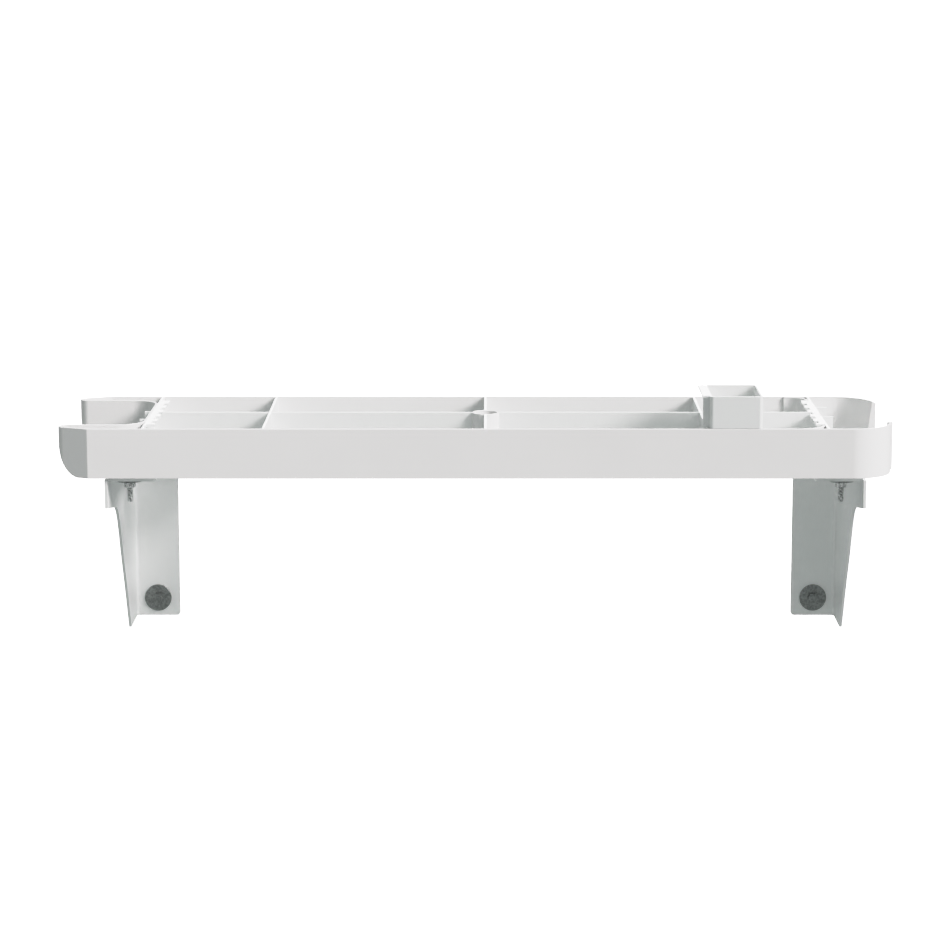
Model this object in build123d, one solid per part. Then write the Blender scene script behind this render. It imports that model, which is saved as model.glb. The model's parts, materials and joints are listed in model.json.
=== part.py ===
from build123d import *
import math
import os

# Wall mounted fold down drying rack.
# Millimetres. Origin: centre of the four wall screws, on the wall plane.
# +X to the right as seen from the room, -Y out into the room, +Z up.

# --- driving dimensions -------------------------------------------------
WALL_Y = 0.0
FRONT_Y = -250.0            # front face of the front rail
RACK_TOP = 148.6            # top edges of the rails, slats and combs
RAIL_H = 50.8               # height of the rails
SHEET = 2.5                 # sheet of the rack
PLATE = 3.0                 # sheet of the wall brackets

REAR_Y = FRONT_Y + 216.0    # rear face of the rear rail
LEFT_TIP_X = -430.0         # tips of the two left prongs
WING_X = -399.0             # bend where a rail turns in towards its tip
RIGHT_X = 411.0             # outer face of the rounded right corners
CORNER_R = 43.0             # outer radius of the right corners
NOSE_R = 9.0                # outer radius of a prong's tip
TIP_ROUND_W = 22.0          # elliptical lower corner of a prong
TIP_ROUND_H = 36.0
FRONT_RETURN = 2.0          # how far a right corner's end stands out past its face
REAR_RETURN = 0.5
RETURN_TOP = 3.5            # width of the tapered end, inwards, at its top and foot
RETURN_FOOT = 10.0
RETURN_LIFT = 2.0
ARM_OFFSET = 28.5           # recess face of a prong, from its rail's outer face
RECESS_R = 25.0             # corner radius inside the left recess
RECESS_X = -347.5           # face of the left recess's inner wall

SLAT_H = 40.0
CROSS_X = 222.5             # left and right cross slats, either side of centre
MID_Y = FRONT_Y + 107.5     # slat that runs from comb to comb
HUB_R = 14.0
HUB_WALL = 1.8

COMB_X = 342.5              # inner face of a comb's upright
COMB_FLANGE = 8.5           # width of a comb's toothed flange
COMB_H = 30.0
TOOTH_PITCH = 29.0
TOOTH_DEPTH = 4.0
TOOTH_GAP = 13.0
FLANGE_END = 29.0           # plain end of a comb, from the rail's outer face
LEFT_FINS = (62.0, 110.0)   # depth of each fin from the rack's front face
RIGHT_FINS = (76.0, 139.0)
LEFT_FIN_REACH = 352.6
RIGHT_FIN_REACH = 356.0
RING_R = 24.0               # curved walls that join the right comb to the rails

BRACKET_OUT_X = 383.0
BRACKET_IN_X = 333.0
BRACKET_TOP = RACK_TOP - 53.0
BEND_R = 3.0                # inner radius of the brackets' bends
LIP_FRONT = 4.0             # a bracket's side view: depth from the rack's front face,
LIP_DROP = 82.0             # and drop from the rack's top
LIP_END = (78.0, 94.5)
SWEEP_POINTS = [(98.0, 107.5), (124.6, 147.3), (160.7, 200.7)]
FOOT = (190.0, 246.6)
BRACKET_BOTTOM = RACK_TOP - FOOT[1]
TOP_FLANGE_FRONT = 14.0
TOP_FLANGE_REAR = 11.0      # gap from the rear rail
CORNER_ROUND = 4.0

WALL_SCREW_X = 357.0
WALL_SCREW_Z = 78.0
M6_CLEAR_R = 3.3
M6_R = 3.0
PENNY_R = 14.5
PENNY_T = 1.6
HEX_FLATS = 10.0

REST_X = 360.0
REST_Y = FRONT_Y + 29.0
REST_PLATE_Z = RACK_TOP - 44.5
REST_PLATE_DEPTH = 46.0
BOLT_ROOM_R = 10.0

HINGE_Y = REAR_Y + 16.0
HINGE_Z = RACK_TOP - 15.0
PIN_R = 4.0
PIN_CLEAR = 0.05
EAR_R = 9.5
LUG_R = 9.0
LUG_X = 375.0               # inner face of a hinge lug's ear
LUG_LEG_X = 340.0           # inner end of a lug's leg on the rear rail
LUG_LEG_DROP = (45.0, 4.0)  # foot and top of the leg, below the rack's top
BUSH_R = 5.5
BUSH_FLANGE_R = 8.0
BUSH_FLANGE_T = 1.6

BOX_LEFT = 224.5
BOX_W = 53.0
BOX_REAR = FRONT_Y + 81.0
BOX_TOP = RACK_TOP + 32.5
BOX_BOTTOM = RACK_TOP - 30.0
BOX_WALL = 2.0

RACK_BOTTOM = RACK_TOP - RAIL_H
SIDES = {"left": -1, "right": 1}

parts = {}


# --- helpers --------------------------------------------------------------
def block(x, y, z):
    """Box from three (low, high) pairs given in any order."""
    spans = [sorted(pair) for pair in (x, y, z)]
    sizes = [high - low for low, high in spans]
    centre = [(high + low) / 2 for low, high in spans]
    return Pos(*centre) * Box(*sizes)


def rod(radius, start, length, along):
    """Cylinder that starts at a point and runs along X, Y or Z."""
    turn = {"X": Rot(0, 90, 0), "Y": Rot(-90, 0, 0), "Z": Rot(0, 0, 0)}[along]
    solid = Cylinder(radius, abs(length), align=(Align.CENTER, Align.CENTER, Align.MIN))
    if length < 0:
        solid = mirror(solid, about=Plane.XY)
    return Pos(*start) * turn * solid


def hexagon(flats, start, height, along):
    """Six-sided head or nut, centred on its start."""
    turn = {"Y": Rot(-90, 0, 0), "Z": Rot(0, 0, 0)}[along]
    return Pos(*start) * turn * extrude(RegularPolygon(flats / math.sqrt(3), 6), height)


def strip(path, thickness, low, high, side=Side.LEFT):
    """Upright sheet that follows a plan-view path."""
    outline = offset(Wire(path.edges()), thickness, side=side, closed=True)
    return Pos(0, 0, low) * extrude(make_face(outline.edges()), high - low, dir=(0, 0, 1))


def across_rack(solid):
    """Mirror a front feature of the rack to its rear, about mid depth."""
    return mirror(solid, about=Plane(origin=(0, (FRONT_Y + REAR_Y) / 2, 0), z_dir=(0, 1, 0)))


def save(name, shape):
    parts[name] = shape


# --- rails ------------------------------------------------------------------
def wing_angle():
    """Turn of the wing that runs tangentially from the rail's bend to the round tip."""
    run = WING_X - (LEFT_TIP_X + NOSE_R)
    rise = ARM_OFFSET - NOSE_R
    reach = math.hypot(run, rise)
    return math.atan2(rise, run) - math.asin(NOSE_R / reach)


def rail_path():
    """Outer face of the front rail, from the recess tip round to the right end."""
    turn = wing_angle()
    centre = Vector(LEFT_TIP_X + NOSE_R, FRONT_Y + ARM_OFFSET - NOSE_R)
    leave = centre + Vector(-math.sin(turn), -math.cos(turn)) * NOSE_R
    bend = Vector(WING_X, FRONT_Y)
    corner = Vector(RIGHT_X - CORNER_R, FRONT_Y)
    nose = CenterArc(centre, NOSE_R, 90, 180 - math.degrees(turn))
    right = CenterArc(corner + Vector(0, CORNER_R), CORNER_R, 270, 90)
    return Curve() + [nose, Line(leave, bend), Line(bend, corner), right]


def tip_cut():
    """Everything below the elliptical lower corner of the prongs."""
    centre = Pos(LEFT_TIP_X + TIP_ROUND_W, RACK_BOTTOM + TIP_ROUND_H)
    keep_out = Rectangle(TIP_ROUND_W + 2, TIP_ROUND_H + 2, align=(Align.MAX, Align.MAX))
    keep_out = centre * keep_out - centre * Ellipse(TIP_ROUND_W, TIP_ROUND_H)
    profile = Plane.XZ * keep_out
    return extrude(profile, 400, both=True)


def end_flange(outer_x):
    """Tapered return at the free end of a rounded corner."""
    foot = RACK_BOTTOM + RETURN_LIFT
    top_x, foot_x = RIGHT_X - RETURN_TOP, RIGHT_X - RETURN_FOOT
    corners = [(top_x, RACK_TOP), (outer_x, RACK_TOP), (outer_x, foot), (foot_x, foot)]
    face = Plane.XZ * make_face(Polyline(*corners, close=True))
    return Pos(0, FRONT_Y + CORNER_R + SHEET, 0) * extrude(face, SHEET)


def rail(outer_x):
    sheet = strip(rail_path(), SHEET, RACK_BOTTOM, RACK_TOP)
    return sheet - tip_cut() + end_flange(outer_x)


save("front_rail", rail(RIGHT_X + FRONT_RETURN))
save("rear_rail", across_rack(rail(RIGHT_X + REAR_RETURN)))


# --- left recess and the combs -----------------------------------------------
def rest_plate(side):
    """Horizontal landing that comes down on a rest bolt."""
    return block(
        (side * (COMB_X + SHEET), side * (RIGHT_X - CORNER_R)),
        (FRONT_Y + SHEET, FRONT_Y + REST_PLATE_DEPTH),
        (REST_PLATE_Z, REST_PLATE_Z + SHEET),
    )


def bolt_room(side):
    """Space over a rest bolt's head."""
    start = (side * REST_X, REST_Y, RACK_BOTTOM - 1)
    return rod(BOLT_ROOM_R, start, REST_PLATE_Z - RACK_BOTTOM + 1, "Z")


def recess_panel():
    x_tip = LEFT_TIP_X + NOSE_R
    y_front = FRONT_Y + ARM_OFFSET
    y_rear = REAR_Y - ARM_OFFSET
    x_turn = RECESS_X - RECESS_R
    path = Curve() + [
        Line((x_tip, y_front), (x_turn, y_front)),
        CenterArc((x_turn, y_front + RECESS_R), RECESS_R, 270, 90),
        Line((RECESS_X, y_front + RECESS_R), (RECESS_X, y_rear - RECESS_R)),
        CenterArc((x_turn, y_rear - RECESS_R), RECESS_R, 0, 90),
        Line((x_turn, y_rear), (x_tip, y_rear)),
    ]
    panel = strip(path, SHEET, RACK_BOTTOM, RACK_TOP, side=Side.RIGHT)
    return panel - tip_cut() - rest_plate(-1) - bolt_room(-1)


save("recess_panel", recess_panel())


def comb(side):
    """Upright from rail to rail with a toothed flange for hangers."""
    upright = block(
        (side * COMB_X, side * (COMB_X + SHEET)),
        (FRONT_Y + SHEET, REAR_Y - SHEET),
        (RACK_TOP - COMB_H, RACK_TOP),
    )
    low_y, high_y = FRONT_Y + FLANGE_END, REAR_Y - FLANGE_END
    flange = block(
        (side * (COMB_X - COMB_FLANGE), side * COMB_X),
        (low_y, high_y),
        (RACK_TOP - SHEET, RACK_TOP),
    )
    shape = upright + flange
    count = int((high_y - low_y) / TOOTH_PITCH)
    for index in range(count):
        y = low_y + (index + 0.5) * TOOTH_PITCH
        shape -= block(
            (side * (COMB_X - COMB_FLANGE - 1), side * (COMB_X - COMB_FLANGE + TOOTH_DEPTH)),
            (y - TOOTH_GAP / 2, y + TOOTH_GAP / 2),
            (RACK_TOP - SHEET - 1, RACK_TOP + 1),
        )
    return shape


def fins(side, places, reach):
    """Short cross fins on the outside of a comb."""
    base = COMB_X + SHEET if side > 0 else -RECESS_X
    solids = [
        block(
            (side * base, side * reach),
            (FRONT_Y + y, FRONT_Y + y + SHEET),
            (RACK_TOP - COMB_H, RACK_TOP),
        )
        for y in places
    ]
    return Compound(children=solids)


def ring_wall():
    """Curved wall from the front rail into the right comb."""
    turn_x = COMB_X - RING_R
    centre = (turn_x, FRONT_Y + SHEET + RING_R)
    path = Curve() + [CenterArc(centre, RING_R, 270, 90)]
    return strip(path, SHEET, RACK_BOTTOM, RACK_TOP)


for name, side in SIDES.items():
    save(f"{name}_comb", comb(side))
save("right_front_corner_wall", ring_wall())
save("right_rear_corner_wall", across_rack(ring_wall()))
save("right_comb_fins", fins(1, RIGHT_FINS, RIGHT_FIN_REACH))
save("left_comb_fins", fins(-1, LEFT_FINS, LEFT_FIN_REACH))


# --- slats and hub -----------------------------------------------------------
def mid_slat(side):
    """Slat from the hub to a comb, slotted from above for the cross slat."""
    hub_gap = math.sqrt(HUB_R**2 - (SHEET / 2) ** 2)
    slat = block(
        (side * hub_gap, side * COMB_X),
        (MID_Y - SHEET / 2, MID_Y + SHEET / 2),
        (RACK_TOP - SLAT_H, RACK_TOP),
    )
    slat -= block(
        (side * CROSS_X - SHEET / 2, side * CROSS_X + SHEET / 2),
        (MID_Y - SHEET, MID_Y + SHEET),
        (RACK_TOP - SLAT_H / 2, RACK_TOP + 1),
    )
    flange = (side * (COMB_X - COMB_FLANGE), side * COMB_X)
    return slat - block(flange, (MID_Y - SHEET, MID_Y + SHEET), (RACK_TOP - SHEET, RACK_TOP + 1))


def cross_slat(side):
    """Slat from rail to rail, slotted from below for the mid slat."""
    slat = block(
        (side * CROSS_X - SHEET / 2, side * CROSS_X + SHEET / 2),
        (FRONT_Y + SHEET, REAR_Y - SHEET),
        (RACK_TOP - SLAT_H, RACK_TOP),
    )
    return slat - block(
        (side * CROSS_X - SHEET, side * CROSS_X + SHEET),
        (MID_Y - SHEET / 2, MID_Y + SHEET / 2),
        (RACK_TOP - SLAT_H - 1, RACK_TOP - SLAT_H / 2),
    )


def centre_slat(rail_y, direction):
    """Half slat from a rail to the hub."""
    hub_gap = math.sqrt(HUB_R**2 - (SHEET / 2) ** 2)
    return block(
        (-SHEET / 2, SHEET / 2),
        (rail_y + direction * SHEET, MID_Y - direction * hub_gap),
        (RACK_TOP - SLAT_H, RACK_TOP),
    )


hub = rod(HUB_R, (0, MID_Y, RACK_BOTTOM), RAIL_H, "Z")
hub -= rod(HUB_R - HUB_WALL, (0, MID_Y, RACK_BOTTOM - 1), RAIL_H + 2, "Z")
save("hub_tube", hub)
save("front_centre_slat", centre_slat(FRONT_Y, 1) - rod(HUB_R, (0, MID_Y, RACK_BOTTOM), RAIL_H, "Z"))
save("rear_centre_slat", centre_slat(REAR_Y, -1) - rod(HUB_R, (0, MID_Y, RACK_BOTTOM), RAIL_H, "Z"))
for name, side in SIDES.items():
    save(f"{name}_mid_slat", mid_slat(side) - rod(HUB_R, (0, MID_Y, RACK_BOTTOM), RAIL_H, "Z"))
    save(f"{name}_cross_slat", cross_slat(side))
    save(f"{name}_rest_plate", rest_plate(side))


# --- hinge lugs and bushes ---------------------------------------------------
def across_axis(radius):
    """Cylinder along the whole hinge axis."""
    return rod(radius, (-RIGHT_X, HINGE_Y, HINGE_Z), 2 * RIGHT_X, "X")


def hinge_lug(side):
    """Angle on the back of the rear rail with an ear for the hinge pin."""
    leg_z = tuple(RACK_TOP - drop for drop in LUG_LEG_DROP)
    leg = block((side * LUG_LEG_X, side * (LUG_X + PLATE)), (REAR_Y, REAR_Y + PLATE), leg_z)
    disc = Pos(HINGE_Y, HINGE_Z) * Circle(LUG_R)
    root = Pos(REAR_Y + PLATE / 2, sum(leg_z) / 2) * Rectangle(PLATE, leg_z[1] - leg_z[0])
    ear = extrude(Plane.YZ * make_hull(disc.edges() + root.edges()), PLATE, dir=(1, 0, 0))
    ear_x = LUG_X if side > 0 else -LUG_X - PLATE
    ear = Pos(ear_x, 0, 0) * ear
    return leg + ear - across_axis(BUSH_R)


def hinge_bush(side):
    """Flanged bush that lines a lug and spaces it from the bracket."""
    sleeve = rod(BUSH_R, (side * LUG_X, HINGE_Y, HINGE_Z), side * PLATE, "X")
    rim = rod(BUSH_FLANGE_R, (side * (LUG_X + PLATE), HINGE_Y, HINGE_Z), side * BUSH_FLANGE_T, "X")
    return sleeve + rim - across_axis(PIN_R + PIN_CLEAR)


for name, side in SIDES.items():
    save(f"{name}_hinge_lug", hinge_lug(side))
save("hinge_bushes", Compound(children=[hinge_bush(side) for side in SIDES.values()]))


# --- wall brackets -------------------------------------------------------------
def bracket_outline():
    """Side view of a bracket: lip, swept lower edge, foot, back and hinge ear."""
    def place(depth, drop):
        return (FRONT_Y + depth, RACK_TOP - drop)

    lip_top = (FRONT_Y + LIP_FRONT, BRACKET_TOP)
    lip_foot = place(LIP_FRONT, LIP_DROP)
    sweep_points = [place(*point) for point in (LIP_END, *SWEEP_POINTS, FOOT)]
    sweep = Spline(*sweep_points, tangents=[(1, -0.3), (0.55, -0.8)])
    ear_front = HINGE_Y - EAR_R
    ear_top = HINGE_Z + EAR_R
    ear = CenterArc((HINGE_Y, HINGE_Z), EAR_R, 90, 90)
    edges = [
        Line(lip_top, lip_foot),
        Line(lip_foot, sweep_points[0]),
        sweep,
        Line(sweep_points[-1], (WALL_Y, BRACKET_BOTTOM)),
        Line((WALL_Y, BRACKET_BOTTOM), (WALL_Y, ear_top)),
        Line((WALL_Y, ear_top), (HINGE_Y, ear_top)),
        ear,
        Line((ear_front, HINGE_Z), (ear_front, BRACKET_TOP)),
        Line((ear_front, BRACKET_TOP), lip_top),
    ]
    face = Plane.YZ * make_face(edges)
    return extrude(face, 500, both=True)


def bracket():
    """Right-hand bracket: wall plate, side flange and top flange of one sheet."""
    outer_r = BEND_R + PLATE
    turn = (BRACKET_OUT_X - outer_r, WALL_Y - outer_r)
    path = Curve() + [
        Line((BRACKET_IN_X, WALL_Y), (turn[0], WALL_Y)),
        CenterArc(turn, outer_r, 90, -90),
        Line((BRACKET_OUT_X, turn[1]), (BRACKET_OUT_X, FRONT_Y)),
    ]
    body = strip(path, PLATE, BRACKET_BOTTOM, HINGE_Z + EAR_R, side=Side.RIGHT)
    body = body & bracket_outline()
    body -= block((BRACKET_IN_X - 1, turn[0]), (WALL_Y - PLATE - 1, WALL_Y + 1), (BRACKET_TOP, RACK_TOP))
    top_flange = block(
        (BRACKET_IN_X, BRACKET_OUT_X - PLATE),
        (FRONT_Y + TOP_FLANGE_FRONT, REAR_Y - TOP_FLANGE_REAR),
        (BRACKET_TOP - PLATE, BRACKET_TOP),
    )
    corner = top_flange.edges().filter_by(Axis.Z).sort_by(Axis.X)[:2]
    body += fillet(corner, CORNER_ROUND)
    foot = [e for e in body.edges().filter_by(Axis.Y) if abs(e.center().X - BRACKET_IN_X) < 0.1]
    foot = [e for e in foot if e.center().Z < BRACKET_BOTTOM + 1]
    body = fillet(foot, CORNER_ROUND)
    body -= rod(M6_CLEAR_R, (REST_X, REST_Y, BRACKET_TOP - 10), 20, "Z")
    for z in (-WALL_SCREW_Z, WALL_SCREW_Z):
        body -= rod(M6_CLEAR_R, (WALL_SCREW_X, WALL_Y - 10, z), 20, "Y")
    return body - across_axis(PIN_R + PIN_CLEAR)


right_bracket = bracket()
save("right_bracket", right_bracket)
save("left_bracket", mirror(right_bracket, about=Plane.YZ))


# --- wall screws -----------------------------------------------------------------
SCREW_HEAD_H = 4.0
SCREW_NECK_R = 2.7              # rolled threads stand proud of the plain neck
SCREW_THREAD_L = 42.0
SCREW_POINT_L = 6.0
SCREW_POINT_R = 0.5


def wall_screw(x, z):
    """Hex head coach screw: head on its washer, neck in the bracket, thread in the wall."""
    face = WALL_Y - PLATE - PENNY_T
    head = hexagon(HEX_FLATS, (x, face - SCREW_HEAD_H, z), SCREW_HEAD_H, "Y")
    neck = rod(SCREW_NECK_R, (x, face, z), WALL_Y - face, "Y")
    thread = rod(M6_R, (x, WALL_Y, z), SCREW_THREAD_L, "Y")
    point = Cone(M6_R, SCREW_POINT_R, SCREW_POINT_L, align=(Align.CENTER, Align.CENTER, Align.MIN))
    point = Pos(x, WALL_Y + SCREW_THREAD_L, z) * Rot(-90, 0, 0) * point
    return head + neck + thread + point


def penny(start, along):
    """Large flat washer."""
    back = {"Y": (0, -1, 0), "Z": (0, 0, -1)}[along]
    hole_start = tuple(s + b for s, b in zip(start, back))
    return rod(PENNY_R, start, PENNY_T, along) - rod(M6_CLEAR_R, hole_start, PENNY_T + 2, along)


screw_places = [(sx * WALL_SCREW_X, sz * WALL_SCREW_Z) for sx in (-1, 1) for sz in (-1, 1)]
save("wall_screws", Compound(children=[wall_screw(x, z) for x, z in screw_places]))
washers = [penny((x, WALL_Y - PLATE - PENNY_T, z), "Y") for x, z in screw_places]
save("wall_washers", Compound(children=washers))


# --- rest bolts --------------------------------------------------------------------
SPRING_T = 1.6
SPRING_R = 5.5
NUT_H = 5.2
BOLT_HEAD_H = 4.0
BUMPER_R = 7.5
BUMPER_FOOT = BRACKET_TOP + 0.2
BUMPER_TOP = REST_PLATE_Z - 0.4
REST_BOLT_END = RACK_TOP - 79.2

under_flange = BRACKET_TOP - PLATE
bolts, pennies, springs, nuts, bumpers = [], [], [], [], []
for side in SIDES.values():
    x = side * REST_X
    head = hexagon(HEX_FLATS, (x, REST_Y, BRACKET_TOP), BOLT_HEAD_H, "Z")
    bolts.append(head + rod(M6_R, (x, REST_Y, REST_BOLT_END), BRACKET_TOP - REST_BOLT_END, "Z"))
    pennies.append(penny((x, REST_Y, under_flange - PENNY_T), "Z"))
    spring_low = under_flange - PENNY_T - SPRING_T
    spring = rod(SPRING_R, (x, REST_Y, spring_low), SPRING_T, "Z")
    spring -= rod(M6_R + 0.1, (x, REST_Y, spring_low - 1), SPRING_T + 2, "Z")
    springs.append(spring)
    nut = hexagon(HEX_FLATS, (x, REST_Y, spring_low - NUT_H), NUT_H, "Z")
    nuts.append(nut - rod(M6_R + 0.02, (x, REST_Y, spring_low - NUT_H - 1), NUT_H + 2, "Z"))
    cap = rod(BUMPER_R, (x, REST_Y, BUMPER_FOOT), BUMPER_TOP - BUMPER_FOOT, "Z")
    bumpers.append(cap - hexagon(HEX_FLATS, (x, REST_Y, BRACKET_TOP - 1), BOLT_HEAD_H + 1, "Z"))
save("rest_bolts", Compound(children=bolts))
save("rest_bolt_washers", Compound(children=pennies))
save("rest_bolt_spring_washers", Compound(children=springs))
save("rest_bolt_nuts", Compound(children=nuts))
save("rest_bumpers", Compound(children=bumpers))


# --- hinge pins -----------------------------------------------------------------------
PIN_HEAD_R = 6.5
PIN_HEAD_T = 3.0
PIN_END_X = 371.0
GROOVE_X = 372.6
GROOVE_W = 1.2
GROOVE_R = 3.0
CLIP_R = 6.5
CLIP_T = 1.0
CLIP_MOUTH = 2.4

pins, clips = [], []
for side in SIDES.values():
    head = rod(PIN_HEAD_R, (side * BRACKET_OUT_X, HINGE_Y, HINGE_Z), side * PIN_HEAD_T, "X")
    shank = rod(PIN_R, (side * PIN_END_X, HINGE_Y, HINGE_Z), side * (BRACKET_OUT_X - PIN_END_X), "X")
    groove = rod(PIN_R + 1, (side * GROOVE_X, HINGE_Y, HINGE_Z), side * GROOVE_W, "X")
    groove -= rod(GROOVE_R, (side * GROOVE_X, HINGE_Y, HINGE_Z), side * GROOVE_W, "X")
    pins.append(head + shank - groove)
    clip = rod(CLIP_R, (side * (GROOVE_X + 0.1), HINGE_Y, HINGE_Z), side * CLIP_T, "X")
    clip -= rod(GROOVE_R + 0.02, (side * (GROOVE_X - 1), HINGE_Y, HINGE_Z), side * 4.0, "X")
    mouth_x = (side * (GROOVE_X - 1), side * (GROOVE_X + 3))
    mouth_y = (HINGE_Y - CLIP_MOUTH, HINGE_Y + CLIP_MOUTH)
    clips.append(clip - block(mouth_x, mouth_y, (HINGE_Z - 8, HINGE_Z)))
save("hinge_pins", Compound(children=pins))
save("pin_clips", Compound(children=clips))


# --- peg box -----------------------------------------------------------------------------
BOX_CORNER_R = 3.5
STEP_Z = RACK_TOP + 0.3         # underside of the front step, over the front rail
STEP_Y = FRONT_Y + 3.4          # front wall below the step, behind the front rail


def tub(x_low, x_high, y_low, y_high, z_low, z_high, radius):
    """Upright block with rounded vertical corners."""
    plan = Pos((x_low + x_high) / 2, (y_low + y_high) / 2) * RectangleRounded(
        x_high - x_low, y_high - y_low, radius
    )
    return Pos(0, 0, z_low) * extrude(plan, z_high - z_low)


def peg_box():
    left, right = BOX_LEFT, BOX_LEFT + BOX_W
    front = FRONT_Y + 0.2
    wall = BOX_WALL
    inner_r = BOX_CORNER_R - wall
    outer = tub(left, right, front, BOX_REAR, STEP_Z, BOX_TOP, BOX_CORNER_R)
    outer += tub(left, right, STEP_Y, BOX_REAR, BOX_BOTTOM, STEP_Z, BOX_CORNER_R)
    inner_x = (left + wall, right - wall)
    rear = BOX_REAR - wall
    inner = tub(*inner_x, front + wall, rear, STEP_Z + wall, BOX_TOP + 1, inner_r)
    inner += tub(*inner_x, STEP_Y + wall, rear, BOX_BOTTOM + wall, BOX_TOP, inner_r)
    return outer - inner


def box_hanger():
    """Flange on the box's left wall with a notched web that straddles the cross slat."""
    left = BOX_LEFT - 7.0
    flange = block((left, BOX_LEFT), (FRONT_Y + 6, BOX_REAR), (BOX_TOP - BOX_WALL, BOX_TOP))
    web = block((left + 0.5, BOX_LEFT), (FRONT_Y + 8, FRONT_Y + 10), (RACK_TOP - 8, BOX_TOP - BOX_WALL))
    notch_x = (CROSS_X - SHEET / 2 - 0.5, BOX_LEFT + 1)
    notch = block(notch_x, (FRONT_Y + 7, FRONT_Y + 11), (RACK_TOP - 9, RACK_TOP + 0.4))
    return flange + (web - notch)


save("peg_box", peg_box())
save("box_hanger", box_hanger())


# --- output --------------------------------------------------------------------------------
os.makedirs("parts", exist_ok=True)
for part_name, shape in parts.items():
    export_step(shape, f"parts/{part_name}.step")
    print(part_name, round(shape.volume))
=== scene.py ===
import json
import math

import bmesh
import bpy
from mathutils import Matrix, Vector

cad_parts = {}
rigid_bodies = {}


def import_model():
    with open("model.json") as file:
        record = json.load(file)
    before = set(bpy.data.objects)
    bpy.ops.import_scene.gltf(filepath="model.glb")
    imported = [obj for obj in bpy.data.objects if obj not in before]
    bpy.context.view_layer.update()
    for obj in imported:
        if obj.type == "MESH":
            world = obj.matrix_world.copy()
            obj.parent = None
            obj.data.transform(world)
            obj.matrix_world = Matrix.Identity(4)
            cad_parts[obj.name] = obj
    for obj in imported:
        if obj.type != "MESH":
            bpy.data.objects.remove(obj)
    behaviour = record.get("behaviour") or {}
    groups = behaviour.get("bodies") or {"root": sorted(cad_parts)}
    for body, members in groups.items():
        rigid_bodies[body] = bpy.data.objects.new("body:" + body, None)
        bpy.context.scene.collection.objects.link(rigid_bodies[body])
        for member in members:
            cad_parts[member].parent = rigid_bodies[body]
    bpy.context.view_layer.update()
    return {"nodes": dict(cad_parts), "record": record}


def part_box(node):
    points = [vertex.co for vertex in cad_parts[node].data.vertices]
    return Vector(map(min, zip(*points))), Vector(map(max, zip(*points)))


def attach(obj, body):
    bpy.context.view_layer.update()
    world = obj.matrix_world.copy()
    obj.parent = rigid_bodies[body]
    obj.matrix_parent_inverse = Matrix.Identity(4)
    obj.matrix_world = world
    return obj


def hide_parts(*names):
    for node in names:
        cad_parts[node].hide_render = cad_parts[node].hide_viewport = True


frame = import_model()

# Wall mounted fold down drying rack. Metres, in the frame of the CAD model:
# +X to the right, -Y out into the room, +Z up, Y = 0 on the wall.

MM = 0.001
BODY_OF = {
    node: body
    for body, nodes in frame["record"]["behaviour"]["bodies"].items()
    for node in nodes
}
SLOT_OF = {row["node"]: row["material_slot"] for row in frame["record"]["subparts"]}
AROUND = 96
HEX_AROUND = 72
THREAD_AROUND = 24
CREASE = 40.0


# --- where things are --------------------------------------------------------
def low(node):
    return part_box(node)[0]


def high(node):
    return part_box(node)[1]


def middle(node):
    return (low(node) + high(node)) / 2


# --- node helpers ----------------------------------------------------------------
def new_material(name):
    mat = bpy.data.materials.new(name)
    mat.use_nodes = True
    nodes = mat.node_tree.nodes
    return mat, nodes, mat.node_tree.links, nodes["Principled BSDF"]


def add(nodes, kind, **values):
    """New node with its own settings, and its sockets set by name."""
    node = nodes.new(kind)
    for key, value in values.items():
        if hasattr(node, key):
            setattr(node, key, value)
        else:
            node.inputs[key.replace("_", " ")].default_value = value
    return node


def ramp(nodes, links, source, stops):
    """Colour ramp on a source socket, from (place, grey or colour) stops."""
    node = nodes.new("ShaderNodeValToRGB")
    band = node.color_ramp
    while len(band.elements) < len(stops):
        band.elements.new(0.5)
    for element, (place, shade) in zip(band.elements, stops):
        element.position = place
        colour = (shade,) * 3 if isinstance(shade, float) else shade
        element.color = (*colour, 1.0)
    links.new(source, node.inputs["Fac"])
    return node


def object_noise(nodes, links, scale, detail=4.0, stretch=(1.0, 1.0, 1.0)):
    """Noise fixed to the piece, in metres."""
    coords = nodes.new("ShaderNodeTexCoord")
    mapping = nodes.new("ShaderNodeMapping")
    mapping.inputs["Scale"].default_value = stretch
    links.new(coords.outputs["Object"], mapping.inputs["Vector"])
    noise = add(nodes, "ShaderNodeTexNoise", Scale=scale, Detail=detail)
    links.new(mapping.outputs["Vector"], noise.inputs["Vector"])
    return noise


def bump(nodes, links, height, strength, distance, normal=None):
    node = add(nodes, "ShaderNodeBump", Strength=strength, Distance=distance)
    links.new(height, node.inputs["Height"])
    if normal is not None:
        links.new(normal, node.inputs["Normal"])
    return node


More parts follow.
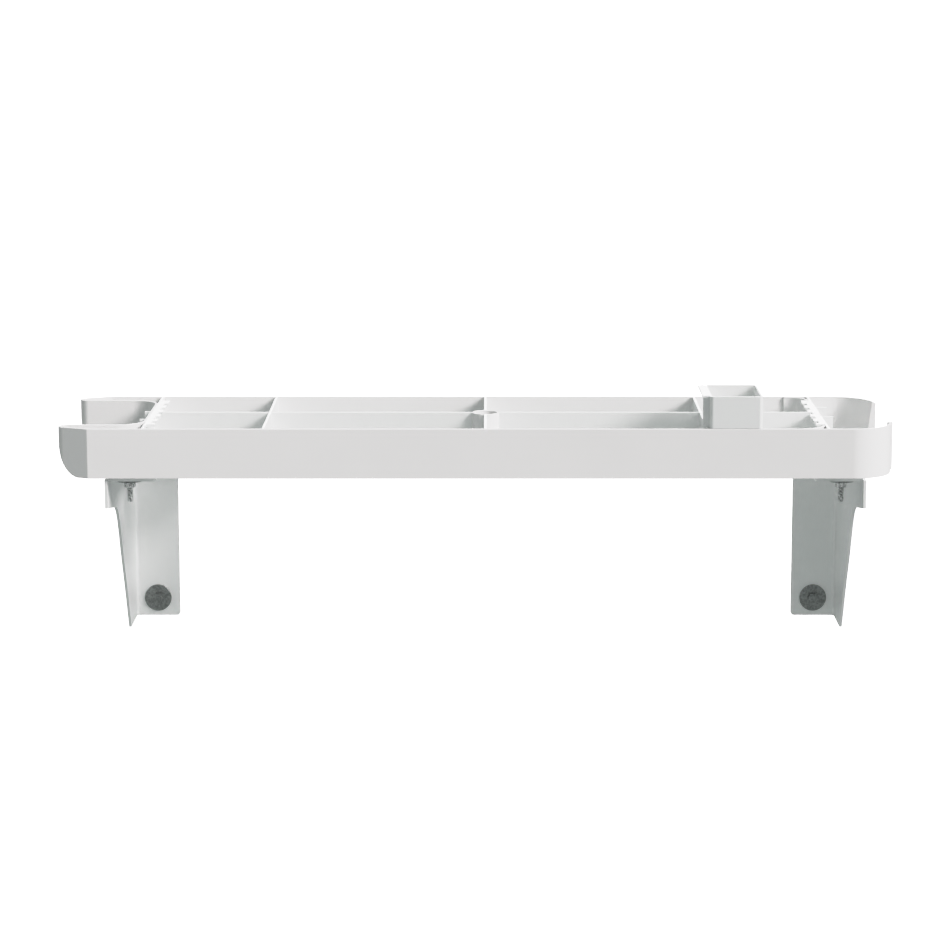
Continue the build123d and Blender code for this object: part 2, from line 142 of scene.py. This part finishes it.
# --- materials ---------------------------------------------------------------------
def powder_coat(name, light, dark):
    """Satin white powder coat: fine orange peel, faint cloudiness."""
    mat, nodes, links, shader = new_material(name)
    cloud = object_noise(nodes, links, 9.0, 3.0)
    tint = ramp(nodes, links, cloud.outputs["Fac"], [(0.3, dark), (0.7, light)])
    links.new(tint.outputs["Color"], shader.inputs["Base Color"])
    sheen = object_noise(nodes, links, 60.0, 5.0)
    rough = ramp(nodes, links, sheen.outputs["Fac"], [(0.25, 0.30), (0.75, 0.38)])
    links.new(rough.outputs["Color"], shader.inputs["Roughness"])
    peel = object_noise(nodes, links, 900.0, 2.0)
    grain = object_noise(nodes, links, 4200.0, 1.0)
    coarse = bump(nodes, links, peel.outputs["Fac"], 0.10, 0.00006)
    fine = bump(nodes, links, grain.outputs["Fac"], 0.06, 0.00003, coarse.outputs["Normal"])
    links.new(fine.outputs["Normal"], shader.inputs["Normal"])
    shader.inputs["IOR"].default_value = 1.5
    shader.inputs["Coat Weight"].default_value = 0.15
    shader.inputs["Coat Roughness"].default_value = 0.22
    return mat


def zinc(name, tone, contrast, rough_low, rough_high):
    """Dull zinc plated steel: a mottled tone that is partly passivation and partly painted glints and
    painted dark reflections, handling marks, machined grain.
    """
    mat, nodes, links, shader = new_material(name)
    mottle_and_glints = object_noise(nodes, links, 520.0, 6.0)
    # Light flecks are painted glints and dark flecks are painted dark reflections, mixed with random
    # passivation tone.
    bright = tuple(min(1.0, channel * (1 + contrast)) for channel in tone)
    dull = tuple(channel * (1 - contrast) for channel in tone)
    tint = ramp(nodes, links, mottle_and_glints.outputs["Fac"], [(0.38, dull), (0.5, tone), (0.64, bright)])
    links.new(tint.outputs["Color"], shader.inputs["Base Color"])
    wear = object_noise(nodes, links, 900.0, 4.0)
    rough = ramp(nodes, links, wear.outputs["Fac"], [(0.3, rough_low), (0.7, rough_high)])
    links.new(rough.outputs["Color"], shader.inputs["Roughness"])
    grain = object_noise(nodes, links, 1500.0, 4.0)
    marks = bump(nodes, links, grain.outputs["Fac"], 0.45, 0.00012)
    links.new(marks.outputs["Normal"], shader.inputs["Normal"])
    shader.inputs["Metallic"].default_value = 1.0
    return mat


def rubber(name):
    """Black moulded rubber with a bloom of dust and a fine matt grain."""
    mat, nodes, links, shader = new_material(name)
    dust = object_noise(nodes, links, 240.0, 5.0)
    tint = ramp(nodes, links, dust.outputs["Fac"], [(0.35, 0.016), (0.8, 0.045)])
    links.new(tint.outputs["Color"], shader.inputs["Base Color"])
    rough = ramp(nodes, links, dust.outputs["Fac"], [(0.3, 0.62), (0.7, 0.8)])
    links.new(rough.outputs["Color"], shader.inputs["Roughness"])
    grain = object_noise(nodes, links, 5200.0, 2.0)
    skin = bump(nodes, links, grain.outputs["Fac"], 0.35, 0.00005)
    links.new(skin.outputs["Normal"], shader.inputs["Normal"])
    return mat


def nylon(name):
    """Off-white moulded nylon with soft flow marks and a little light passing through."""
    mat, nodes, links, shader = new_material(name)
    flow = object_noise(nodes, links, 150.0, 4.0, (1.0, 1.0, 0.3))
    cream, pale = (0.70, 0.69, 0.64), (0.80, 0.79, 0.75)
    tint = ramp(nodes, links, flow.outputs["Fac"], [(0.3, cream), (0.7, pale)])
    links.new(tint.outputs["Color"], shader.inputs["Base Color"])
    rough = ramp(nodes, links, flow.outputs["Fac"], [(0.3, 0.42), (0.7, 0.52)])
    links.new(rough.outputs["Color"], shader.inputs["Roughness"])
    grain = object_noise(nodes, links, 3000.0, 2.0)
    skin = bump(nodes, links, grain.outputs["Fac"], 0.2, 0.00004)
    links.new(skin.outputs["Normal"], shader.inputs["Normal"])
    shader.inputs["Subsurface Weight"].default_value = 0.08
    shader.inputs["Subsurface Radius"].default_value = (0.002, 0.002, 0.0015)
    return mat


MATERIALS = {
    "white_powder_coat": powder_coat("powder_coat", (0.805, 0.81, 0.805), (0.785, 0.79, 0.785)),
    # The contrast sets how strong the painted glints and painted dark reflections in the zinc are.
    "zinc_steel": zinc("zinc_steel", (0.27, 0.285, 0.28), 0.24, 0.30, 0.55),
    "bright_zinc": zinc("bright_zinc", (0.70, 0.715, 0.71), 0.45, 0.16, 0.42),
    "black_rubber": rubber("rubber"),
    "white_nylon": nylon("nylon"),
}


FINISH_OF = {
    "rest_bolts": "bright_zinc",
    "rest_bolt_nuts": "bright_zinc",
    "hinge_pins": "bright_zinc",
}


# --- piece helpers ---------------------------------------------------------------------
def finish_piece(piece, node):
    """Material, slot and body of a piece that stands for a CAD node."""
    piece.data.materials.clear()
    piece.data.materials.append(MATERIALS[FINISH_OF.get(node, SLOT_OF[node])])
    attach(piece, BODY_OF[node])
    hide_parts(node)
    return piece


def mesh_piece(name, bm):
    mesh = bpy.data.meshes.new(name)
    bmesh.ops.recalc_face_normals(bm, faces=bm.faces)
    bm.to_mesh(mesh)
    bm.free()
    piece = bpy.data.objects.new(name, mesh)
    bpy.context.scene.collection.objects.link(piece)
    return piece


def soften(piece):
    """Smooth shading that keeps the flat faces flat."""
    piece.data.shade_smooth()
    normals = piece.modifiers.new("flat_faces", "WEIGHTED_NORMAL")
    normals.keep_sharp = True
    normals.weight = 100


def sharp_edges(bm, angle):
    limit = math.radians(angle)
    return [e for e in bm.edges if len(e.link_faces) == 2 and e.calc_face_angle(0) > limit]


def round_edges(bm, radius, segments=3, angle=32):
    bmesh.ops.bevel(
        bm,
        geom=sharp_edges(bm, angle),
        offset=radius,
        offset_type="OFFSET",
        segments=segments,
        profile=0.5,
        affect="EDGES",
        clamp_overlap=True,
        miter_outer="ARC",
    )


def refined(node, radius, segments=3):
    """The CAD node's shape with welded points, clean flat faces and rounded edges."""
    bm = bmesh.new()
    bm.from_mesh(frame["nodes"][node].data)
    bmesh.ops.remove_doubles(bm, verts=bm.verts, dist=0.05 * MM)
    bmesh.ops.dissolve_limit(bm, angle_limit=math.radians(0.5), verts=bm.verts, edges=bm.edges)
    round_edges(bm, radius, segments)
    piece = mesh_piece(f"{node}_finished", bm)
    finish_piece(piece, node)
    soften(piece)
    return piece


# --- skins through loops of points -------------------------------------------------------
def loft(bm, loops, closed=False):
    """Skin of quads through equal loops of points, capped at its two ends."""
    rings = [[bm.verts.new(point) for point in loop] for loop in loops]
    pairs = list(zip(rings, rings[1:]))
    if closed:
        pairs.append((rings[-1], rings[0]))
    for first, second in pairs:
        for index in range(len(first)):
            after = (index + 1) % len(first)
            bm.faces.new((first[index], first[after], second[after], second[index]))
    if not closed:
        bm.faces.new(rings[0])
        bm.faces.new(rings[-1])
    return [vert for ring in rings for vert in ring]


def ring(radius, height, around):
    """Circle of points about the Z axis; radius and height may depend on the angle."""
    points = []
    for index in range(around):
        angle = 2 * math.pi * index / around
        r = radius(angle) if callable(radius) else radius
        z = height(angle) if callable(height) else height
        points.append(Vector((r * math.cos(angle), r * math.sin(angle), z)))
    return points


def lathe(bm, profile, around=AROUND, closed=False):
    return loft(bm, [ring(radius, height, around) for radius, height in profile], closed=closed)


def place(bm, verts, at, along="Z"):
    """Turn new points from the Z axis to another one and move them into place."""
    turns = {
        "Z": Matrix.Identity(4),
        "-Y": Matrix.Rotation(math.radians(90), 4, "X"),
        "X": Matrix.Rotation(math.radians(90), 4, "Y"),
        "-X": Matrix.Rotation(math.radians(-90), 4, "Y"),
    }
    bmesh.ops.transform(bm, matrix=Matrix.Translation(at) @ turns[along], verts=verts)


def made(node, bm):
    """Piece from a finished mesh, in place of a CAD node."""
    piece = mesh_piece(f"{node}_finished", bm)
    piece.data.set_sharp_from_angle(angle=math.radians(CREASE))
    finish_piece(piece, node)
    soften(piece)
    return piece


# --- bent sheet --------------------------------------------------------------------------
SHEET_EDGE = 0.7 * MM
ARC_STEP = math.radians(3.0)
SHEET = 2.5 * MM
TOP = high("front_rail").z
BOTTOM = low("front_rail").z
FRONT = low("front_rail").y
REAR = high("rear_rail").y
TIP = low("front_rail").x
WING = TIP + 31.0 * MM          # bend where a rail turns in towards its tip
SPLIT = 1.0 * MM                # spacing of points where a sheet's foot is shaped
SAME_POINT = 0.01 * MM
SECTION_STEPS = 3
NOSE_R = 9.0 * MM
BEND_R = 2.5 * MM
ARM = 28.5 * MM                 # recess face of a prong, from its rail's outer face
CORNER_R = 43.0 * MM
RIGHT = high("rear_rail").x - 0.5 * MM
RECESS_R = 25.0 * MM
RECESS_X = high("recess_panel").x - SHEET
TIP_W, TIP_H = 22.0 * MM, 36.0 * MM
RING_R = 24.0 * MM
RETURN_TOP, RETURN_FOOT, RETURN_LIFT = 3.5 * MM, 10.0 * MM, 2.0 * MM
COMB_FLANGE = 8.5 * MM
HUB_WALL, HUB_EDGE = 1.8 * MM, 0.5 * MM
BOLT_ROOM = 10.0 * MM


def rounded_path(corners):
    """Plan path through (x, y, radius) corners, each rounded by its radius."""
    points = [Vector(corners[0][:2])]
    for before, corner, after in zip(corners, corners[1:], corners[2:]):
        here, radius = Vector(corner[:2]), corner[2]
        arrive = (here - Vector(before[:2])).normalized()
        leave = (Vector(after[:2]) - here).normalized()
        turn = math.atan2(arrive.x * leave.y - arrive.y * leave.x, arrive.dot(leave))
        start = here - arrive * radius * math.tan(abs(turn) / 2)
        inward = Vector((-arrive.y, arrive.x)) * math.copysign(radius, turn)
        steps = max(3, math.ceil(abs(turn) / ARC_STEP))
        for step in range(steps + 1):
            spoke = Matrix.Rotation(turn * step / steps, 2) @ -inward
            points.append(start + inward + spoke)
    points.append(Vector(corners[-1][:2]))
    return tidy_path(points)


def tidy_path(points):
    kept = points[:1]
    for point in points[1:]:
        if (point - kept[-1]).length > SAME_POINT:
            kept.append(point)
    return kept


def split_path(points, below_x, step):
    """More points on the runs that lie left of an X."""
    result = points[:1]
    for start, end in zip(points, points[1:]):
        pieces = math.ceil((end - start).length / step) if min(start.x, end.x) < below_x else 1
        result += [start.lerp(end, (index + 1) / pieces) for index in range(pieces)]
    return result


def sheet_section(thickness):
    """Rounded section of a sheet: (depth, height, from the top) for each point."""
    r = SHEET_EDGE
    corners = [(r, r, 180, False), (thickness - r, r, 270, False)]
    corners += [(thickness - r, -r, 0, True), (r, -r, 90, True)]
    section = []
    for depth, height, start, from_top in corners:
        for step in range(SECTION_STEPS + 1):
            angle = math.radians(start + 90 * step / SECTION_STEPS)
            section.append((depth + r * math.cos(angle), height + r * math.sin(angle), from_top))
    return section


def strip(bm, path, foot, side=1):
    """Upright sheet on a plan path; side 1 puts its thickness on the left of the path."""
    runs = zip(path, path[1:])
    normals = [Vector((start.y - end.y, end.x - start.x)).normalized() for start, end in runs]
    section = sheet_section(SHEET)
    loops = []
    for index, point in enumerate(path):
        first = normals[max(index - 1, 0)]
        second = normals[min(index, len(normals) - 1)]
        mitre = (first + second) / (1 + first.dot(second)) * side
        loop = []
        for depth, height, from_top in section:
            spot = point + mitre * depth
            loop.append((spot.x, spot.y, height + (TOP if from_top else foot(spot))))
        loops.append(loop)
    return loft(bm, loops)


def tip_foot(spot):
    """Lower edge of a prong, with its elliptical corner."""
    inward = TIP + TIP_W - spot.x
    if inward <= 0:
        return BOTTOM
    return BOTTOM + TIP_H * (1 - math.sqrt(max(0.0, 1 - (inward / TIP_W) ** 2)))


def end_return(bm, outer_x, y):
    """Tapered return at the free end of a rounded corner."""
    outline = [
        (RIGHT - RETURN_TOP, TOP),
        (outer_x, TOP),
        (outer_x, BOTTOM + RETURN_LIFT),
        (RIGHT - RETURN_FOOT, BOTTOM + RETURN_LIFT),
    ]
    flange = bmesh.new()
    loft(flange, [[(x, y + depth, z) for x, z in outline] for depth in (0.0, SHEET)])
    round_edges(flange, SHEET_EDGE)
    merge(bm, flange)


def merge(bm, other):
    """Move one mesh into another."""
    carrier = bpy.data.meshes.new("carrier")
    other.to_mesh(carrier)
    other.free()
    bm.from_mesh(carrier)
    bpy.data.meshes.remove(carrier)


def flip_rear(bm):
    """Turn a front feature of the rack into its rear one, about mid depth."""
    for vert in bm.verts:
        vert.co.y = FRONT + REAR - vert.co.y


def make_rail(node, rear):
    wing_run, wing_rise = WING - TIP - NOSE_R, ARM - NOSE_R
    turn = math.atan2(wing_rise, wing_run) - math.asin(NOSE_R / math.hypot(wing_run, wing_rise))
    corners = [
        (TIP + NOSE_R, FRONT + ARM, 0.0),
        (WING - ARM / math.tan(turn), FRONT + ARM, NOSE_R),
        (WING, FRONT, BEND_R),
        (RIGHT, FRONT, CORNER_R),
        (RIGHT, FRONT + CORNER_R, 0.0),
    ]
    bm = bmesh.new()
    path = split_path(rounded_path(corners), TIP + TIP_W, SPLIT)
    strip(bm, path, tip_foot)
    end_return(bm, high(node).x, FRONT + CORNER_R)
    if rear:
        flip_rear(bm)
    made(node, bm)


def make_recess_panel():
    front_y, rear_y = FRONT + ARM, REAR - ARM
    bolt = Vector((-REST_X, REST_Y))
    corners = [
        (TIP + NOSE_R, front_y, 0.0),
        (RECESS_X, front_y, RECESS_R),
        (RECESS_X, rear_y, RECESS_R),
        (TIP + NOSE_R, rear_y, 0.0),
    ]

    def foot(spot):
        if (spot - bolt).length < BOLT_ROOM:
            return low("left_rest_plate").z
        return tip_foot(spot)

    bm = bmesh.new()
    strip(bm, split_path(rounded_path(corners), 0.0, SPLIT), foot, side=-1)
    made("recess_panel", bm)


def make_corner_wall(node, rear):
    turn_x = low("right_comb").x + COMB_FLANGE
    corners = [
        (turn_x - RING_R, FRONT + SHEET, 0.0),
        (turn_x, FRONT + SHEET, RING_R),
        (turn_x, FRONT + SHEET + RING_R, 0.0),
    ]
    bm = bmesh.new()
    strip(bm, rounded_path(corners), lambda spot: BOTTOM)
    if rear:
        flip_rear(bm)
    made(node, bm)


def make_hub():
    wall, edge = HUB_WALL, HUB_EDGE
    outer = (high("hub_tube").x - low("hub_tube").x) / 2
    centre, base = middle("hub_tube"), low("hub_tube").z
    height = high("hub_tube").z - base
    profile = []
    corners = [(outer - edge, height - edge, 0), (outer - wall + edge, height - edge, 90)]
    corners += [(outer - wall + edge, edge, 180), (outer - edge, edge, 270)]
    for radius, z, start in corners:
        for step in range(4):
            angle = math.radians(start + 30 * step)
            profile.append((radius + edge * math.cos(angle), z + edge * math.sin(angle)))
    bm = bmesh.new()
    place(bm, lathe(bm, profile, closed=True), (centre.x, centre.y, base))
    made("hub_tube", bm)


# --- fasteners ---------------------------------------------------------------------------
M6_R = 3.0 * MM
M6_PITCH = 1.0 * MM
SCREW_PITCH = 2.6 * MM
FLATS = 10.0 * MM
CHAMFER_SLOPE = math.tan(math.radians(30))
PENNY_R = 14.5 * MM
PIN_R = 4.0 * MM
HOLE_R = 3.3 * MM
WASHER_T = 1.6 * MM
WASHER_EDGE = 0.35 * MM
BOLT_HEAD_H = 4.0 * MM
NUT_LEAD = 0.4 * MM
TURNED = 0.95               # turned face of a hex head, as a share of its flats
THREAD_ROWS = 8             # rows of points for each turn of a thread
THREAD_TIP_R = 0.3 * MM
POINT_R = 0.5 * MM
M6_ROOT, SCREW_ROOT = 2.45 * MM, 2.1 * MM
SCREW_NECK_R, SCREW_NECK_L = 2.7 * MM, 5.0 * MM
SCREW_POINT = 6.0 * MM
JOIN = 0.1 * MM             # overlap that joins two lengths of one fastener


def hex_body(bm, base, top, chamfer_foot, bore=0.0):
    """Six-sided head or nut whose corners are turned off at 30 degrees."""
    flat = FLATS / 2
    round_r = TURNED * flat

    def corner(angle):
        return flat / math.cos(angle % math.radians(60) - math.radians(30))

    def cut(angle):
        return (corner(angle) - round_r) * CHAMFER_SLOPE

    profile = [(round_r, base), (corner, lambda a: base + cut(a))] if chamfer_foot else [(corner, base)]
    profile += [(corner, lambda a: top - cut(a)), (round_r, top)]
    if bore:
        lead = NUT_LEAD
        profile += [(bore + lead, top), (bore, top - lead), (bore, base + lead), (bore + lead, base)]
    return lathe(bm, profile, HEX_AROUND, closed=bool(bore))


def thread(bm, pitch, base, top, root, point=0.0):
    """Rod with a helical V groove, and a lead or a point at its foot."""
    depth = M6_R - root
    rows = math.ceil((top - base) / pitch * THREAD_ROWS)
    loops = []
    for row in range(rows + 1):
        z = base + (top - base) * row / rows
        limit = M6_R if point == 0.0 else min(M6_R, POINT_R + (z - base) / point * M6_R)
        lead = min(M6_R, root - THREAD_TIP_R + (z - base))

        def radius(angle, z=z, limit=limit, lead=lead):
            phase = (z / pitch - angle / (2 * math.pi)) % 1.0
            return max(THREAD_TIP_R, min(M6_R - depth * abs(2 * phase - 1), limit, lead))

        loops.append(ring(radius, z, THREAD_AROUND))
    return loft(bm, loops)


def make_wall_screws():
    spots = [(sx * WALL_X, sz * WALL_Z) for sx in (-1, 1) for sz in (-1, 1)]
    head_face = low("wall_washers").y
    head_h = head_face - low("wall_screws").y
    depth = high("wall_screws").y - head_face
    bm = bmesh.new()
    for x, z in spots:
        verts = hex_body(bm, 0.0, head_h, False)
        verts += lathe(bm, [(SCREW_NECK_R, -SCREW_NECK_L), (SCREW_NECK_R, JOIN)])
        verts += thread(bm, SCREW_PITCH, -depth, head_face, SCREW_ROOT, point=SCREW_POINT)
        place(bm, verts, (x, head_face, z), "-Y")
    made("wall_screws", bm)


def washer(bm, hole, thickness):
    edge = WASHER_EDGE
    profile = [
        (hole + edge, 0.0),
        (PENNY_R - edge, 0.0),
        (PENNY_R, edge),
        (PENNY_R, thickness - edge),
        (PENNY_R - edge, thickness),
        (hole + edge, thickness),
        (hole, thickness - edge),
        (hole, edge),
    ]
    return lathe(bm, profile, closed=True)


def make_washers():
    bm = bmesh.new()
    for x, z in [(sx * WALL_X, sz * WALL_Z) for sx in (-1, 1) for sz in (-1, 1)]:
        place(bm, washer(bm, HOLE_R, WASHER_T), (x, high("wall_washers").y, z), "-Y")
    made("wall_washers", bm)
    bm = bmesh.new()
    for x in (-REST_X, REST_X):
        place(bm, washer(bm, HOLE_R, WASHER_T), (x, REST_Y, low("rest_bolt_washers").z))
    made("rest_bolt_washers", bm)


def make_rest_bolts():
    seat = high("rest_bolts").z - BOLT_HEAD_H
    foot = low("rest_bolts").z
    bm = bmesh.new()
    for x in (-REST_X, REST_X):
        verts = hex_body(bm, seat, high("rest_bolts").z, False)
        verts += thread(bm, M6_PITCH, foot, seat + JOIN, M6_ROOT)
        place(bm, verts, (x, REST_Y, 0))
    made("rest_bolts", bm)
    bm = bmesh.new()
    for x in (-REST_X, REST_X):
        verts = hex_body(bm, low("rest_bolt_nuts").z, high("rest_bolt_nuts").z, True, M6_R)
        place(bm, verts, (x, REST_Y, 0))
    made("rest_bolt_nuts", bm)


def make_spring_washers():
    """Split ring whose ends are pressed almost level."""
    node = "rest_bolt_spring_washers"
    base, top = low(node).z, high(node).z
    inner, outer = 3.1 * MM, high(node).x - REST_X
    lift, edge, gap = 0.25 * MM, 0.2 * MM, math.radians(9)
    bm = bmesh.new()
    for x in (-REST_X, REST_X):
        loops = []
        for index in range(AROUND + 1):
            share = index / AROUND
            angle = gap + (2 * math.pi - 2 * gap) * share + math.radians(200)
            z_low, z_high = base + lift * share, top - lift * (1 - share)
            section = [
                (inner + edge, z_low), (outer - edge, z_low), (outer, z_low + edge),
                (outer, z_high - edge), (outer - edge, z_high), (inner + edge, z_high),
                (inner, z_high - edge), (inner, z_low + edge),
            ]
            loops.append([Vector((r * math.cos(angle), r * math.sin(angle), z)) for r, z in section])
        place(bm, loft(bm, loops), (x, REST_Y, 0))
    made(node, bm)


def make_bumpers():
    node = "rest_bumpers"
    base, top = low(node).z, high(node).z
    outer, pocket = high(node).x - REST_X, 5.9 * MM
    roof, crown = high("rest_bolts").z + 0.1 * MM, 1.6 * MM
    profile = [(0.5 * MM, roof), (pocket, roof), (pocket, base), (outer - 0.4 * MM, base)]
    profile += [(outer, base + 0.4 * MM)]
    for step in range(7):
        angle = math.radians(15 * step)
        profile.append((outer - crown + crown * math.cos(angle), top - crown + crown * math.sin(angle)))
    bm = bmesh.new()
    for x in (-REST_X, REST_X):
        place(bm, lathe(bm, profile), (x, REST_Y, 0))
    made(node, bm)


def make_pins():
    """Hinge pins with domed heads outside the brackets and a groove for the clip."""
    head_out = high("hinge_pins").x
    axis = middle("hinge_pins")
    head_h, head_r = 3.0 * MM, 6.5 * MM
    length = 12.0 * MM
    clip = high("pin_clips").x - 0.5 * MM
    face = head_out - head_h
    groove = face - clip
    dome = [(head_r * math.cos(math.radians(a)), head_h * (0.35 + 0.65 * math.sin(math.radians(a))))
            for a in range(0, 90, 12)]
    profile = [
        (PIN_R - 0.5 * MM, -length), (PIN_R, 0.5 * MM - length),
        (PIN_R, -groove - 0.6 * MM), (PIN_R - MM, -groove - 0.6 * MM),
        (PIN_R - MM, 0.6 * MM - groove), (PIN_R, 0.6 * MM - groove),
        (PIN_R, 0.0), (head_r, 0.0), *dome,
    ]
    bm = bmesh.new()
    for side, along in ((-1, "-X"), (1, "X")):
        place(bm, lathe(bm, profile), (side * face, axis.y, axis.z), along)
    made("hinge_pins", bm)


WALL_X = high("wall_washers").x - PENNY_R
WALL_Z = high("wall_washers").z - PENNY_R
REST_X = high("rest_bolt_washers").x - PENNY_R
REST_Y = middle("rest_bolt_washers").y

make_rail("front_rail", rear=False)
make_rail("rear_rail", rear=True)
make_recess_panel()
make_corner_wall("right_front_corner_wall", rear=False)
make_corner_wall("right_rear_corner_wall", rear=True)
make_hub()
make_wall_screws()
make_washers()
make_rest_bolts()
make_spring_washers()
make_bumpers()
make_pins()

# The CAD nodes are in this set as well as the pieces, so the loop below refines none of the
# others: they show as they came, an open fault.
MADE = {piece.name.removesuffix("_finished") for piece in bpy.context.scene.objects}
for node_name, slot_name in SLOT_OF.items():
    if node_name not in MADE and slot_name == "white_powder_coat":
        refined(node_name, SHEET_EDGE)
    elif node_name not in MADE:
        refined(node_name, 0.3 * MM, 2)


# --- stage, camera, lights ---------------------------------------------------------------
LENS = 117.47
CAMERA_AT = (0.0, -3.3096, 0.6496)
PITCH_DOWN = 10.15
SHIFT_X = -0.011

FLOOR_Z = -0.75
STAGE_R = 7.0
STAGE_BEND = 2.5
STAGE_TOP = 7.0
STAGE_GLOW = 4.0

KEY = dict(azimuth=61.0, height=31.0, spread=22.0, power=3.95, tint=(1.0, 0.93, 0.945))
BACK = dict(azimuth=178.0, height=36.0, spread=40.0, power=1.7, tint=(1.0, 0.97, 0.98))
SKY_POWER = 0.395
SKY_TINT = (0.945, 1.0, 0.985)
SHOULDER = [(0.35, 0.35), (0.66, 0.66), (0.76, 0.745), (0.86, 0.785), (0.98, 0.815), (1.3, 0.88)]


def make_stage():
    """Round white studio floor that bends up into a wall on every side."""
    steps, turns = 12, 96
    profile = [(0.0, FLOOR_Z), (STAGE_R - STAGE_BEND, FLOOR_Z)]
    for step in range(1, steps + 1):
        angle = math.pi / 2 * step / steps
        profile.append((
            STAGE_R - STAGE_BEND + STAGE_BEND * math.sin(angle),
            FLOOR_Z + STAGE_BEND * (1 - math.cos(angle)),
        ))
    profile.append((STAGE_R, STAGE_TOP))
    bm = bmesh.new()
    chain = [bm.verts.new((x, 0.0, z)) for x, z in profile]
    edges = [bm.edges.new(pair) for pair in zip(chain, chain[1:])]
    bmesh.ops.spin(
        bm, geom=chain + edges, axis=(0, 0, 1), cent=(0, 0, 0), steps=turns, angle=2 * math.pi
    )
    bmesh.ops.remove_doubles(bm, verts=bm.verts, dist=MM)
    stage = mesh_piece("stage", bm)
    mat, nodes, links, shader = new_material("stage_paper")
    shader.inputs["Base Color"].default_value = (0.95, 0.95, 0.95, 1.0)
    shader.inputs["Roughness"].default_value = 0.9
    shader.inputs["Emission Color"].default_value = (1.0, 1.0, 1.0, 1.0)
    shader.inputs["Emission Strength"].default_value = STAGE_GLOW
    stage.data.materials.append(mat)
    stage.data.shade_smooth()
    stage.visible_diffuse = False
    stage.visible_glossy = False
    stage.visible_shadow = False


def make_camera():
    data = bpy.data.cameras.new("camera")
    data.lens = LENS
    data.sensor_width = 36.0
    data.shift_x = SHIFT_X
    data.clip_end = 50.0
    camera = bpy.data.objects.new("camera", data)
    camera.location = CAMERA_AT
    camera.rotation_euler = (math.radians(90 - PITCH_DOWN), 0.0, 0.0)
    bpy.context.scene.collection.objects.link(camera)
    bpy.context.scene.camera = camera


def make_sun(name, azimuth, height, spread, power, tint):
    """Broad soft light; the azimuth turns from the front towards the right."""
    data = bpy.data.lights.new(name, "SUN")
    data.angle = math.radians(spread)
    data.energy = power
    data.color = tint
    lamp = bpy.data.objects.new(name, data)
    azimuth, height = math.radians(azimuth), math.radians(height)
    towards = Vector((
        math.sin(azimuth) * math.cos(height),
        -math.cos(azimuth) * math.cos(height),
        math.sin(height),
    ))
    lamp.rotation_euler = (-towards).to_track_quat("-Z", "Y").to_euler()
    bpy.context.scene.collection.objects.link(lamp)


def make_sky():
    """Even studio fill from all round."""
    world = bpy.data.worlds.new("studio")
    world.use_nodes = True
    sky = world.node_tree.nodes["Background"]
    sky.inputs["Color"].default_value = (*SKY_TINT, 1.0)
    sky.inputs["Strength"].default_value = SKY_POWER
    bpy.context.scene.world = world


def set_exposure():
    """Plain display with a soft shoulder on the highlights."""
    view = bpy.context.scene.view_settings
    view.view_transform = "Standard"
    view.use_curve_mapping = True
    curve = view.curve_mapping
    curve.use_clip = False
    curve.extend = "EXTRAPOLATED"
    for place_x, place_y in SHOULDER[:-1]:
        curve.curves[3].points.new(place_x, place_y)
    curve.curves[3].points[-1].location = SHOULDER[-1]
    curve.update()


make_stage()
make_camera()
make_sun("key", **KEY)
make_sun("back", **BACK)
make_sky()
set_exposure()
